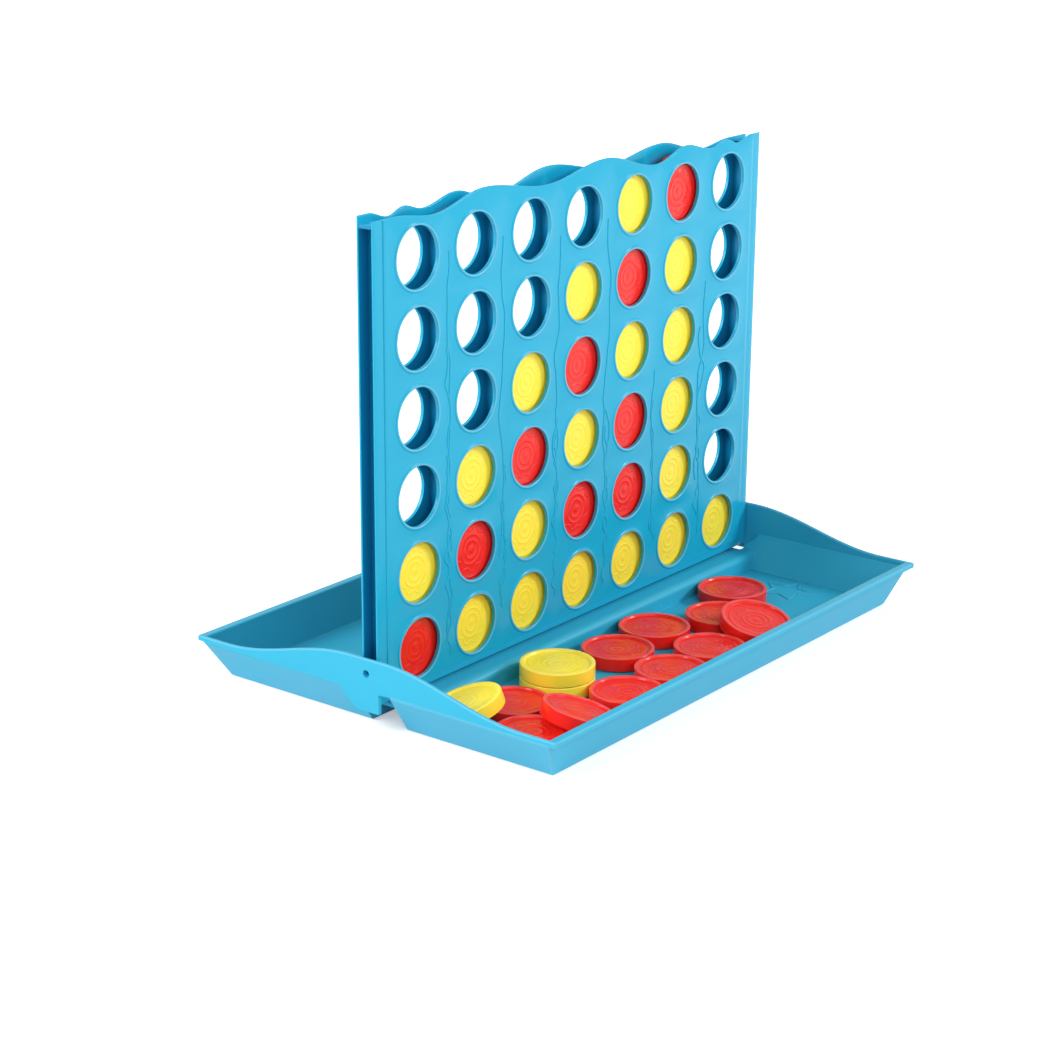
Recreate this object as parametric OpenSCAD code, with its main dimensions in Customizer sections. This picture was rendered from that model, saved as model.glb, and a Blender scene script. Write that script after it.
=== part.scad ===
// Table-top four-in-a-row game: an upright disc grid that folds on a base with two trays.
// X runs along the grid, Y across the trays with the front at -Y, Z up from the table.

/* [Discs] */
// Diameter of a disc
disc_d = 31; // [29:0.5:33]
// Thickness of a disc over its rim
disc_t = 5.7; // [5:0.1:6.4]
// Width of the raised rim of a disc
disc_rim_w = 2.2; // [1.6:0.1:3]
// Depth of the dished face of a disc
disc_dish = 0.9; // [0.5:0.1:1.3]
// Width of each moulded ring on the dished face
ring_w = 0.9; // [0.6:0.1:1.2]
// Height of each moulded ring on the dished face
ring_h = 0.4; // [0.2:0.1:0.45]

/* [Grid] */
// Width of the bars between the columns
bar_w = 3.7; // [2.6:0.1:5]
// Thickness of the front and rear panels
panel_t = 1.3; // [1.1:0.1:2]
// Diameter of the viewing holes
hole_d = 24.3; // [20:0.1:26]
// Width of the raised bead round a viewing hole
bead_w = 1.4; // [0.8:0.1:1.6]
// Height of the bead over the panel face
bead_h = 0.35; // [0.2:0.05:0.6]
// Depth of the step from the panel face to its edge bands
band_step = 0.4; // [0.2:0.1:0.6]
// Recess of the end posts from the panel ends
end_recess = 5.6; // [4:0.2:8]
// Thickness of the cap that closes each end over its post
cap_t = 1; // [0.8:0.1:1.6]
// Height of the bottom rail under the lowest discs
rail_h = 1.4; // [1:0.1:2]
// Height of the fold axis over the grid's foot
axis_up = 13.2; // [12:0.2:15]
// Mean height of the wavy top over the top row's centres
top_over = 18.2; // [18:0.2:24]
// Diameter of the pegs that join the two panels
peg_d = 2; // [1.6:0.1:2.6]
// Diameter of the pivot pins
pin_d = 3; // [2.4:0.1:3.6]

/* [Base] */
// Height of the tray rims over the table
rim_z = 18.8; // [17.5:0.2:24]
// Thickness of the tray walls
skin = 1.6; // [1.2:0.1:2.2]
// Thickness of the tray floors
floor_t = 1.8; // [1.4:0.1:2.4]
// Width of a tray floor beyond two discs side by side
tray_play = 7; // [5:0.1:12]
// Outward lean of the long tray walls
side_draft = 5.6; // [2:0.2:8]
// Outward lean of the short tray walls
end_draft = 10.6; // [8:0.2:12]
// Width of the rim over the long walls
rim_w = 4; // [3.4:0.2:10]
// Height of the rim's outer edge
lip_h = 2; // [1.4:0.2:5]
// Thickness of the end flanges
flange_t = 1.8; // [1.4:0.1:2.6]
// Drop of the flange's fold line below the rim
fold_drop = 2.4; // [1.6:0.1:3]
// Rise of the flange's hump over the rim
hump_h = 11.4; // [10:0.2:16]
// Width of the flange's hump
hump_w = 152; // [120:2:170]
// Width of the tab below the hump
tab_w = 12.4; // [8:0.2:16]
// Rounding of the ledge that the grid stands over
ledge_r = 3; // [1:0.2:4]
// Point radius of the star moulded on the tray floor
star_r = 13; // [8:0.5:15]

/* [Clearances] */
// Sideways play of a disc in its column
side_play = 0.4; // [0.3:0.05:0.6]
// Play of a disc between the panels, on each face
face_play = 0.3; // [0.3:0.05:0.5]
// Gap between discs that rest on each other
stack_gap = 0.3; // [0.3:0.05:0.5]
// Gap between the grid's ends and the flanges
end_gap = 0.6; // [0.4:0.1:1]
// Gap between the folded grid and the rims
fold_gap = 0.4; // [0.3:0.1:1]
// Gap between the swinging foot and the ledge
sweep_gap = 0.3; // [0.3:0.1:0.8]
// Radial clearance of a pivot pin in its flange
pin_gap = 0.05; // [0.02:0.01:0.1]

/* [Hidden] */
$fn = 96;
// Depth that cutting tools run past a surface
over = 1;
blue = "#2FADD6";
deep_blue = "#1C86B0";
red = "#E8382C";
yellow = "#FBE64C";

// Game position, top row first: R red, Y yellow, a dot for a free cell
cells = ["....YR.", "...YRY.", "..YRYY.", ".YRYRY.", "YRYRRY.", "RYYYYYY"];
rows = len(cells);
cols = len(cells[0]);

// Grid sizes that follow from the discs
col_pitch = disc_d + 2 * side_play + bar_w;
row_pitch = disc_d + stack_gap;
slot = disc_t + 2 * face_play;
half_t = slot / 2 + panel_t;
post_x = cols * col_pitch / 2;
grid_hl = post_x + bar_w / 2 + end_recess;
axis_z = rim_z + half_t + bead_h + fold_gap;
grid_z = axis_z - axis_up;
rail_z = grid_z + rail_h;
low_z = rail_z + stack_gap + disc_d / 2;
top_z = low_z + (rows - 1) * row_pitch + top_over;
bar_drop = 5.2;
bar_z = top_z - bar_drop;
cap_drop = 3.1;
cap_z = top_z - cap_drop;
foot_band = 3.4;
band_z = grid_z + foot_band;
socket_deep = panel_t - band_step;
mark_d = 1.2;
mark_deep = 0.15;

// Disc relief: edge chamfer, inner radius of each ring in disc radii, width of the button's top
disc_edge = 0.4;
ring_at = [0.68, 0.4];
button_w = 2.4;

// Crests and troughs of the wavy top: place in columns from the first one, height over the mean
wave = [
    [-0.35, -1.1], [0.27, -3.3], [1.17, 2.8], [2.29, -1.8], [3.40, 3.6], [4.46, -3.6],
    [5.08, 1.6], [5.64, -2.1], [5.95, 0.3], [6.21, -2.3], [6.53, 0.4]
];
wave_steps = 10;

// Columns and rows, as bar and half-row numbers, where pegs pass through the bars
peg_bars = [2, 5];
peg_rows = [1.5, 3.5];

// Base sizes that follow from the grid
swing_r = sqrt(pow(axis_up, 2) + pow(half_t, 2));
ledge_z = axis_z - swing_r - sweep_gap;
fold_z = rim_z - fold_drop;
channel_v = sqrt(pow(swing_r + sweep_gap, 2) - pow(axis_z - fold_z, 2));
foot_v = channel_v + skin;
floor_v = foot_v + 2 * disc_d + tray_play;
wall_v = floor_v + side_draft;
rim_v = wall_v + rim_w;
side_slope = side_draft / (rim_z - floor_t);
flange_in = grid_hl + end_gap;
flange_out = flange_in + flange_t;
end_slope = end_draft / fold_z;
crease = 0.6;
bridge_reach = 1;
bridge_hl = flange_out - end_draft + bridge_reach;
return_l = 14;
tab_z = ledge_z - skin;
hump_flat = 8;
hump_steps = 24;
ledge_steps = 6;

// Star on the floor: place along X and from the tray's inner wall in disc diameters, then its shape
star_at = [3.48, 0.92];
star_points = 5;
star_waist = 0.5;
star_line = 0.9;
star_h = 0.4;

// Loose discs: place along X and from a tray's inner wall in disc diameters (front is negative),
// layer in a stack, then for a leaning disc the run and the bearing of its raised side.
loose_red = [
    [2.645, -0.515, 0, 0, 0], [1.616, -0.986, 0, 0, 0], [1.468, -1.638, 0, 0.668, 77],
    [0.619, -0.547, 0, 0, 0], [-0.4, -0.654, 0, 0, 0], [0.439, -1.593, 0, 0, 0],
    [-0.581, -1.657, 0, 0, 0], [-1.6, -1.662, 0, 0, 0], [-2.806, -1.746, 0, 0.609, 144],
    [-2.823, -0.73, 0, 0, 0], [-3.445, -1.53, 0, 0, 0], [0.968, 1.012, 0, 0, 0]
];
loose_yellow = [
    [-1.771, -0.657, 0, 0, 0], [-1.771, -0.657, 1, 0, 0], [-3.49, -0.536, 0, 0.508, -50]
];

function cells_of(letter) = [
    for (c = [0:cols - 1])
        for (r = [rows - 1:-1:0])
            if (cells[r][c] == letter) [c, r]
];
red_cells = cells_of("R");
yellow_cells = cells_of("Y");
set_size = rows * cols / 2;

function name_of(stem, i) = str(stem, i < 10 ? "0" : "", i);
function col_x(c) = (c - (cols - 1) / 2) * col_pitch;
function row_z(r) = low_z + (rows - 1 - r) * row_pitch;
function blend(u) = (1 - cos(180 * u)) / 2;
function mix(a, b, u) = a + (b - a) * u;

// The top edge of a panel, left to right
function top_edge() = concat(
    [[-grid_hl, top_z + wave[0][1]]],
    [
        for (k = [0:len(wave) - 2])
            for (s = [0:wave_steps - 1])
                [
                    col_x(mix(wave[k][0], wave[k + 1][0], s / wave_steps)),
                    top_z + mix(wave[k][1], wave[k + 1][1], blend(s / wave_steps))
                ]
    ],
    [[grid_hl, top_z + wave[len(wave) - 1][1]]]
);

module panel_outline(side, foot) {
    intersection() {
        polygon(concat(top_edge(), [[grid_hl, grid_z], [-grid_hl, grid_z]]));
        translate([-side, foot])
            square([2 * side, top_z]);
    }
}

module at_holes() {
    for (c = [0:cols - 1])
        for (r = [0:rows - 1])
            translate([col_x(c), row_z(r)])
                children();
}

module at_pegs() {
    for (b = peg_bars)
        for (r = peg_rows)
            translate([(b - cols / 2) * col_pitch, row_z(r)])
                children();
}

// A panel lying on its inner face, with its foot towards -Y
module flat_panel() {
    difference() {
        union() {
            linear_extrude(panel_t - band_step)
                panel_outline(grid_hl, grid_z);
            linear_extrude(panel_t)
                panel_outline(post_x + bar_w / 2, band_z);
            at_holes()
                cylinder(d = hole_d + 2 * bead_w, h = panel_t + bead_h);
        }
        at_holes()
            translate([0, 0, -over])
                cylinder(d = hole_d, h = panel_t + bead_h + 2 * over);
        at_pegs()
            translate([0, 0, -over])
                cylinder(d = peg_d, h = socket_deep + over);
        at_pegs()
            translate([0, 0, panel_t - mark_deep])
                cylinder(d = mark_d, h = over);
    }
}

module front_panel() {
    color(blue)
        translate([0, -slot / 2, 0])
            rotate([90, 0, 0])
                flat_panel();
}

module rear_panel() {
    color(blue)
        rotate([0, 0, 180])
            translate([0, -slot / 2, 0])
                rotate([90, 0, 0])
                    flat_panel();
}

module column_bars() {
    color(deep_blue)
        difference() {
            for (b = [1:cols - 1])
                translate([(b - cols / 2) * col_pitch - bar_w / 2, -slot / 2, rail_z])
                    cube([bar_w, slot, bar_z - rail_z]);
            rotate([90, 0, 0])
                at_pegs()
                    cylinder(d = peg_d, h = slot + 2 * over, center = true);
        }
}

module bottom_rail() {
    color(deep_blue)
        translate([-post_x + bar_w / 2, -slot / 2, grid_z])
            cube([2 * post_x - bar_w, slot, rail_h]);
}

module assembly_pegs() {
    color(deep_blue)
        rotate([90, 0, 0])
            at_pegs()
                cylinder(d = peg_d, h = slot + 2 * socket_deep, center = true);
}

// The post at the +X end, with its cap and the boss that holds its pivot pin
module end_post() {
    inner_x = post_x - bar_w / 2;
    difference() {
        union() {
            translate([inner_x, -slot / 2, grid_z])
                cube([bar_w, slot, cap_z - grid_z]);
            translate([inner_x, -slot / 2, cap_z - cap_t])
                cube([grid_hl - inner_x, slot, cap_t]);
            translate([post_x, 0, axis_z])
                rotate([0, 90, 0])
                    cylinder(d = slot, h = grid_hl - post_x);
        }
        translate([post_x, 0, axis_z])
            rotate([0, 90, 0])
                cylinder(d = pin_d, h = grid_hl);
    }
}

module pivot_pin() {
    translate([post_x, 0, axis_z])
        rotate([0, 90, 0])
            cylinder(d = pin_d, h = flange_out - flange_t / 2 - post_x);
}

module right_end_post() {
    color(deep_blue)
        end_post();
}

module left_end_post() {
    color(deep_blue)
        rotate([0, 0, 180])
            end_post();
}

module right_pivot_pin() {
    color(deep_blue)
        pivot_pin();
}

module left_pivot_pin() {
    color(deep_blue)
        rotate([0, 0, 180])
            pivot_pin();
}

// A drawing of Y and Z drawn out along X, centred
module along_x(length) {
    rotate([90, 0, 90])
        translate([0, 0, -length / 2])
            linear_extrude(length)
                children();
}

// A drawing of X and Z drawn out along Y, centred
module along_y(length) {
    rotate([90, 0, 0])
        translate([0, 0, -length / 2])
            linear_extrude(length)
                children();
}

function both_sides(half) = concat(
    half,
    [for (k = [len(half) - 1:-1:0]) [-half[k][0], half[k][1]]]
);

// Outer section of the base, hollow below the ledge
module outer_section() {
    polygon(both_sides([
        [channel_v, tab_z],
        [channel_v, 0],
        [floor_v + skin - side_slope * floor_t, 0],
        [wall_v + skin - side_slope * lip_h, rim_z - lip_h],
        [rim_v, rim_z - lip_h],
        [rim_v, rim_z]
    ]));
}

// Open space over the floors, the ledge and the inner walls
module open_section() {
    polygon(both_sides(concat(
        [
            for (s = [0:ledge_steps])
                [
                    foot_v - ledge_r + ledge_r * sin(90 * s / ledge_steps),
                    ledge_z - ledge_r + ledge_r * cos(90 * s / ledge_steps)
                ]
        ],
        [
            [foot_v, floor_t],
            [floor_v, floor_t],
            [wall_v + side_slope * over, rim_z + over]
        ]
    )));
}

module outer_ends() {
    polygon(both_sides([
        [flange_out - end_draft, 0],
        [flange_out, fold_z],
        [flange_out, rim_z]
    ]));
}

module inner_ends() {
    polygon(both_sides([
        [flange_in - crease - end_slope * fold_z, 0],
        [flange_in - crease, fold_z],
        [flange_in, fold_z],
        [flange_in, rim_z + over]
    ]));
}

function hump_z(v) =
    rim_z + hump_h * (1 - blend(min(1, max(0, (v - hump_flat) / (hump_w / 2 - hump_flat)))));

// The flange with its hump and tab, and the gusset that joins the tab to the closed side
module flange_section() {
    difference() {
        union() {
            polygon(both_sides(concat(
                [[tab_w / 2, tab_z], [tab_w / 2, fold_z], [rim_v, fold_z], [rim_v, rim_z]],
                [
                    for (s = [hump_steps:-1:0])
                        let (v = mix(hump_flat, hump_w / 2, s / hump_steps))
                            [v, hump_z(v)]
                ]
            )));
            intersection() {
                translate([0, axis_z])
                    circle(r = swing_r + sweep_gap + skin);
                translate([-foot_v, tab_z])
                    square([foot_v - tab_w / 2, fold_z - tab_z]);
            }
        }
        translate([0, axis_z])
            circle(d = pin_d + 2 * pin_gap);
    }
}

// Open space at the +X end of the channel: past the tab on one side, and on the other
// only where the foot of the grid swings
module channel_cut() {
    reach = flange_out - bridge_hl + over;
    translate([bridge_hl, -tab_w / 2, -over])
        cube([reach, channel_v + tab_w / 2, rim_z + 2 * over]);
    intersection() {
        translate([bridge_hl, -channel_v, 0])
            cube([reach, channel_v - tab_w / 2, rim_z + over]);
        along_x(2 * (flange_out + over))
            translate([0, axis_z])
                circle(r = swing_r + sweep_gap);
    }
}

// The wall that closes the other side below the ledge, with its return along the channel
module channel_end() {
    low_x = flange_out - end_draft;
    high_x = low_x + end_slope * tab_z;
    wall_x = flange_t + crease;
    translate([0, -(channel_v + tab_w / 2) / 2, 0])
        along_y(channel_v - tab_w / 2)
            polygon([[low_x - wall_x, 0], [low_x, 0], [high_x, tab_z], [high_x - wall_x, tab_z]]);
    translate([0, -(tab_w + skin) / 2, 0])
        along_y(skin)
            polygon([[low_x - return_l, 0], [low_x, 0], [high_x, tab_z], [low_x - return_l, tab_z]]);
}

module star(radius) {
    half_step = 180 / star_points;
    polygon([
        for (k = [0:2 * star_points - 1])
            let (r = k % 2 == 0 ? radius : radius * star_waist)
                [r * cos(half_step * k), r * sin(half_step * k)]
    ]);
}

module base_tray() {
    color(blue) {
        difference() {
            intersection() {
                along_x(2 * flange_out)
                    outer_section();
                along_y(2 * rim_v)
                    outer_ends();
            }
            intersection() {
                along_x(2 * flange_out)
                    open_section();
                along_y(2 * rim_v)
                    inner_ends();
            }
            for (turn = [0, 180])
                rotate([0, 0, turn])
                    channel_cut();
        }
        for (turn = [0, 180])
            rotate([0, 0, turn]) {
                channel_end();
                translate([(flange_in + flange_out) / 2, 0, 0])
                    along_x(flange_t)
                        flange_section();
            }
        translate([star_at[0] * disc_d, -foot_v - star_at[1] * disc_d, floor_t])
            linear_extrude(star_h)
                difference() {
                    star(star_r);
                    star(star_r - 2 * star_line);
                }
    }
}

function ridge(r, z) = [[r + ring_w, z], [r + ring_w / 2, z + ring_h], [r, z]];

// A disc lying on the XY plane: raised rim, dished faces with two rings and a button
module disc() {
    r = disc_d / 2;
    h = disc_t / 2;
    dish_r = r - disc_rim_w;
    dish_h = h - disc_dish;
    face = concat(
        [[r, h - disc_edge], [r - disc_edge, h], [dish_r + disc_dish / 2, h], [dish_r, dish_h]],
        [for (at = ring_at) each ridge(at * r, dish_h)],
        [[button_w / 2 + ring_h, dish_h], [button_w / 2, dish_h + ring_h], [0, dish_h + ring_h]]
    );
    translate([0, 0, h])
        rotate_extrude()
            polygon(concat(face, [for (k = [len(face) - 1:-1:0]) [face[k][0], -face[k][1]]]));
}

module cell_disc(cell) {
    translate([col_x(cell[0]), disc_t / 2, row_z(cell[1])])
        rotate([90, 0, 0])
            disc();
}

module loose_disc(spot) {
    lean = spot[3] == 0 ? 0 : atan((disc_t - disc_dish + 2 * stack_gap) / (spot[3] * disc_d));
    rest_z = floor_t + stack_gap + spot[2] * (disc_t + stack_gap);
    translate([
        spot[0] * disc_d,
        sign(spot[1]) * foot_v + spot[1] * disc_d,
        rest_z + disc_d / 2 * sin(lean)
    ])
        rotate([0, -lean, spot[4]])
            disc();
}

module red_disc(i) {
    color(red)
        if (i <= len(red_cells))
            cell_disc(red_cells[i - 1]);
        else
            loose_disc(loose_red[i - len(red_cells) - 1]);
}

module yellow_disc(i) {
    color(yellow)
        if (i <= len(yellow_cells))
            cell_disc(yellow_cells[i - 1]);
        else
            loose_disc(loose_yellow[i - len(yellow_cells) - 1]);
}

base_tray();
front_panel();
rear_panel();
column_bars();
bottom_rail();
left_end_post();
right_end_post();
assembly_pegs();
left_pivot_pin();
right_pivot_pin();
for (i = [1:set_size]) {
    red_disc(i);
    yellow_disc(i);
}
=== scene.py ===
"""Dresses the table-top four-in-a-row game with moulded shapes, finishes and a plain studio stage."""

import math
import random

import bmesh
import bpy
import numpy as np
from mathutils import Matrix, Vector


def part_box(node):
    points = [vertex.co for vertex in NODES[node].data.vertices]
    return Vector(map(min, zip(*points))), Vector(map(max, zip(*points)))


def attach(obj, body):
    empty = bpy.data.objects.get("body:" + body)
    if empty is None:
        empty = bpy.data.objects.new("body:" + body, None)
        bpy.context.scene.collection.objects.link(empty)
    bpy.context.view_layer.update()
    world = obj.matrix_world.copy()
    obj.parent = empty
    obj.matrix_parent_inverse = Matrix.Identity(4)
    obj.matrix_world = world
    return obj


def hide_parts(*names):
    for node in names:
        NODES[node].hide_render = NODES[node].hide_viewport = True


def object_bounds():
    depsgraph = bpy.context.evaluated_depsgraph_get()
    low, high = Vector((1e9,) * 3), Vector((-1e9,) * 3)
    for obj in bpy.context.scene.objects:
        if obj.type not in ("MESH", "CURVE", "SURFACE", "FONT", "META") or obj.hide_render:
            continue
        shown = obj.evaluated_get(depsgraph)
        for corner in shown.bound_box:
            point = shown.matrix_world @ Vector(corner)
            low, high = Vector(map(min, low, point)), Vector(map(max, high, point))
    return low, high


bl_info = {
    "name": "Table-top Four in a Row",
    "version": (1, 0, 0),
    "blender": (4, 5, 0),
    "location": "3D View > Sidebar > Four in a Row",
    "description": "Dresses the packed game with moulded plastic shapes and finishes",
    "category": "Object",
}

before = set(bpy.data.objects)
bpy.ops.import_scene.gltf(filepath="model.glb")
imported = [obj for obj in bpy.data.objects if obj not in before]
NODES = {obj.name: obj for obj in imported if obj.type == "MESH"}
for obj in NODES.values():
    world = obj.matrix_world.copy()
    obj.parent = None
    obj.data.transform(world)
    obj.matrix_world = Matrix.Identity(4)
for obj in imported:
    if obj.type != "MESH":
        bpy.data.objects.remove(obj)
CAD_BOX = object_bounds()
MM = 0.001
TURN = 2 * math.pi
DISCS = sorted(n for n in NODES if "_disc_" in n)


def length(name, description, default):
    """A length property, given in millimetres and kept in metres."""
    return bpy.props.FloatProperty(
        name=name, description=description, default=default * MM, unit="LENGTH", precision=5
    )


def paint(name, description, default):
    """A colour property, given as an sRGB hex value."""
    return bpy.props.FloatVectorProperty(
        name=name, description=description, default=linear(default), subtype="COLOR", size=4, min=0, max=1
    )


def linear(code):
    """The linear RGBA of an sRGB hex value."""
    parts = [int(code[k : k + 2], 16) / 255 for k in (1, 3, 5)]
    return tuple(p / 12.92 if p <= 0.04045 else ((p + 0.055) / 1.055) ** 2.4 for p in parts) + (1.0,)


class DiscSizes(bpy.types.PropertyGroup):
    """Sizes of a playing disc."""

    diameter: length("Diameter", "Diameter of a disc", 31)
    thickness: length("Thickness", "Thickness of a disc over its rim", 5.7)
    rim: length("Rim width", "Width of the raised rim", 1.9)
    dish: length("Dish depth", "Depth of the dished face below the rim", 0.9)
    edge: length("Edge rounding", "Rounding of the rim's outer edge", 0.42)
    ring_height: length("Ring height", "Height of the moulded rings on the face", 0.14)
    ring_width: length("Ring width", "Width of the moulded rings on the face", 0.8)
    ripple_radius: length("Ripple radius", "Mean radius of the rippled ring on the face", 8.6)
    ripple_swell: length("Ripple swell", "How far the rippled ring swings in and out", 0.8)
    ripple_height: length("Ripple height", "Height of the rippled ring on the face", 0.1)
    ripple_lobes: bpy.props.IntProperty(
        name="Ripple lobes", description="Swings of the rippled ring in one turn", default=9
    )
    inner_edge: length("Inner edge rounding", "Rounding of the rim's inner edge", 0.2)
    inner_lean: length("Inner lean", "Lean of the rim's inner wall", 0.3)
    foot: length("Foot rounding", "Rounding at the foot of the rim's inner wall", 0.25)
    button: length("Button radius", "Radius of the sunken button in the middle", 1.6)
    button_edge: length("Button edge", "Width of the button's sloping edge", 0.7)


class GridSizes(bpy.types.PropertyGroup):
    """Sizes of the upright grid."""

    columns: bpy.props.IntProperty(name="Columns", description="Columns of viewing holes", default=7)
    rows: bpy.props.IntProperty(name="Rows", description="Rows of viewing holes", default=6)
    column_pitch: length("Column pitch", "Distance between neighbouring columns", 35.5)
    row_pitch: length("Row pitch", "Distance between neighbouring rows", 31.3)
    lowest_row: length("Lowest row", "Height of the bottom row's centres over the table", 28)
    slot: length("Slot", "Clear depth between the two panels", 6.3)
    panel: length("Panel thickness", "Thickness of a panel", 1.3)
    band_step: length("Band step", "Step from the panel face down to its edge bands", 0.4)
    band_width: length("Band width", "Width of the edge bands at the ends", 5.6)
    bar: length("Bar width", "Width of the bars between the columns", 3.7)
    band_top: length("Foot band", "Height of the foot band's upper edge over the table", 14.2)
    top: length("Top", "Mean height of the wavy top over the table", 202.7)
    cap: length("Cap", "Height of the end caps' underside over the table", 199.6)
    hole: length("Hole", "Diameter of a viewing hole", 24.3)
    bead: length("Bead width", "Width of the raised bead round a hole", 1.4)
    bead_height: length("Bead height", "Height of the bead over the panel face", 0.35)
    edge: length("Edge rounding", "Rounding of the panel's outer edges", 0.45)
    lip: length("Bead rounding", "Rounding of a bead's edges", 0.42)
    back_edge: length("Back edge rounding", "Rounding of a hole's edge inside the slot", 0.25)
    step_edge: length("Step rounding", "Rounding at the beads' feet and along the edge bands", 0.2)
    bar_edge: length("Bar edge rounding", "Rounding of the edges of the bars, rail, posts and pegs", 0.2)
    # The bead's paler inner edge is a painted highlight on its crown
    shine: length("Bead shine", "Width of the paler inner edge of a bead", 0.8)
    line: length("Line width", "Width of the rippling lines on the panel faces", 1.0)
    line_height: length("Line height", "Height of the rippling lines over the panel face", 0.32)
    line_swing: length("Line swing", "How far a rippling line strays to each side", 3.2)
    line_wave: length("Line wave", "Length of a rippling line's bends", 30)


class PinSizes(bpy.types.PropertyGroup):
    """Sizes of the pivot pins."""

    edge: length("Edge rounding", "Rounding of a pin's ends", 0.25)
    core: length("Core", "Diameter of the cored-out end of a pin", 2.2)
    core_depth: length("Core depth", "Depth of the cored-out end of a pin", 3)


class BaseSizes(bpy.types.PropertyGroup):
    """Sizes of the folding base."""

    edge: length("Edge rounding", "Rounding of the rims, walls and flanges", 0.7)
    fine_edge: length("Fine edge rounding", "Rounding of the small details", 0.12)
    notch_reach: length("Notch reach", "Distance from the fold axis of edges that get only the fine rounding", 18)
    notch_height: length("Notch height", "Height over the table of edges that get only the fine rounding", 17)
    etched: length("Etched floors", "Height over the table below which level faces have an etched grain", 5)


class Finishes(bpy.types.PropertyGroup):
    """Colours of the plastics, and of the painted shade inside the grid."""

    blue: paint("Blue", "Colour of the grid", "#1AA6CB")
    # The base is paler than the grid: partly the scatter of its grained surface, partly painted sheen
    pale_with_sheen: paint("Pale blue", "Colour of the base, whose grained surface looks a little paler", "#2EA8CA")
    # Painted shade: a darker blue that stands for the shade on the faces inside the grid
    painted_shade: paint("Deep blue", "Colour of the faces inside the grid, which light hardly reaches", "#0C78A4")
    red: paint("Red", "Colour of the red discs", "#EC221A")
    yellow: paint("Yellow", "Colour of the yellow discs", "#FCE440")


def settings():
    """The scene's sizes and colours of the game."""
    return bpy.context.scene.four_in_a_row


# Small tools


def add(tree, kind, links=None, **values):
    """Adds a node with its settings, and links or sets its inputs."""
    node = tree.nodes.new(kind)
    for key, value in values.items():
        setattr(node, key, value)
    for key, value in (links or {}).items():
        if isinstance(value, bpy.types.NodeSocket):
            tree.links.new(value, node.inputs[key])
        else:
            node.inputs[key].default_value = value
    return node


def new_tree(name, **inputs):
    """A geometry node tree with a Geometry input and output and the named inputs; returns it with its input node."""
    tree = bpy.data.node_groups.new(name, "GeometryNodeTree")
    tree.interface.new_socket("Geometry", in_out="INPUT", socket_type="NodeSocketGeometry")
    for label, kind in inputs.items():
        tree.interface.new_socket(label.replace("_", " "), in_out="INPUT", socket_type="NodeSocket" + kind)
    tree.interface.new_socket("Geometry", in_out="OUTPUT", socket_type="NodeSocketGeometry")
    return tree, tree.nodes.new("NodeGroupInput")


def close_tree(tree, geometry, material):
    """Ends a tree in real meshes with one material."""
    real = add(tree, "GeometryNodeRealizeInstances", {"Geometry": geometry})
    dressed = add(tree, "GeometryNodeSetMaterial", {"Geometry": real.outputs[0], "Material": material})
    add(tree, "NodeGroupOutput", {"Geometry": dressed.outputs[0]})


def baked(obj):
    """A plain mesh of an object with its modifiers applied; the object is then removed."""
    graph = bpy.context.evaluated_depsgraph_get()
    mesh = bpy.data.meshes.new_from_object(obj.evaluated_get(graph), preserve_all_data_layers=True, depsgraph=graph)
    bpy.data.objects.remove(obj)
    return mesh


def grown(mesh, tree, **values):
    """The plain mesh that a node tree makes of a mesh; inputs are set by their sockets' identifiers."""
    obj = link("scratch", mesh)
    modifier = obj.modifiers.new(tree.name, "NODES")
    modifier.node_group = tree
    for item in tree.interface.items_tree:
        key = item.name.replace(" ", "_")
        if item.in_out == "INPUT" and key in values:
            modifier[item.identifier] = values[key]
    return baked(obj)


def link(name, mesh):
    """A new object with the mesh, in the scene."""
    obj = bpy.data.objects.new(name, mesh)
    bpy.context.scene.collection.objects.link(obj)
    return obj


def mesh_of(name, points, faces):
    """A mesh of points and faces."""
    mesh = bpy.data.meshes.new(name)
    mesh.from_pydata([tuple(p) for p in points], [], [tuple(f) for f in faces])
    return mesh


def add_rows(points, faces, rows, closed=False):
    """Adds rows of points, and the faces between each row and the next."""
    first, width = len(points), len(rows[0])
    for row in rows:
        points.extend(row)
    for start in range(first, first + (len(rows) - 1) * width, width):
        for k in range(width if closed else width - 1):
            m = (k + 1) % width
            faces.append((start + k, start + m, start + width + m, start + width + k))


def turned(profile, turns):
    """Points and faces of a profile of radii and heights turned round the Z axis, open at both ends."""
    points, faces = [], []
    angles = [TURN * k / turns for k in range(turns)]
    rows = [[(r * math.cos(a), r * math.sin(a), z) for a in angles] for r, z in profile]
    add_rows(points, faces, rows, closed=True)
    return points, faces


def tidy_up(mesh):
    """Merges doubled points, drops faces without area and turns the rest outwards."""
    shape = bmesh.new()
    shape.from_mesh(mesh)
    bmesh.ops.remove_doubles(shape, verts=shape.verts, dist=0.001 * MM)
    bmesh.ops.dissolve_degenerate(shape, dist=0.0005 * MM, edges=shape.edges)
    bmesh.ops.recalc_face_normals(shape, faces=shape.faces)
    shape.to_mesh(mesh)
    shape.free()


def smooth(mesh, degrees):
    """Smooth shading, with edges steeper than the angle kept crisp."""
    mesh.shade_smooth()
    mesh.set_sharp_from_angle(angle=math.radians(degrees))


def mark_faces(mesh, name, test):
    """Gives the mesh an attribute that is one on the faces that pass a test."""
    mark = mesh.attributes.new(name, "FLOAT", "FACE")
    for face in mesh.polygons:
        mark.data[face.index].value = 1.0 if test(face) else 0.0


def mark_points(mesh, name, level, test):
    """Gives the mesh an attribute with a level at the points that pass a test, which fades beside them."""
    mark = mesh.attributes.new(name, "FLOAT", "POINT")
    for point in mesh.vertices:
        mark.data[point.index].value = level if test(point.co) else 0.0


def finish_piece(name, mesh, material, body, slot, *nodes):
    """Hangs a finished mesh on its body in place of its CAD nodes."""
    mesh.materials.clear()
    mesh.materials.append(material)
    piece = link(name, mesh)
    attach(piece, body)
    if nodes:
        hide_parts(*nodes)
    return piece


# Finishes


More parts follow.
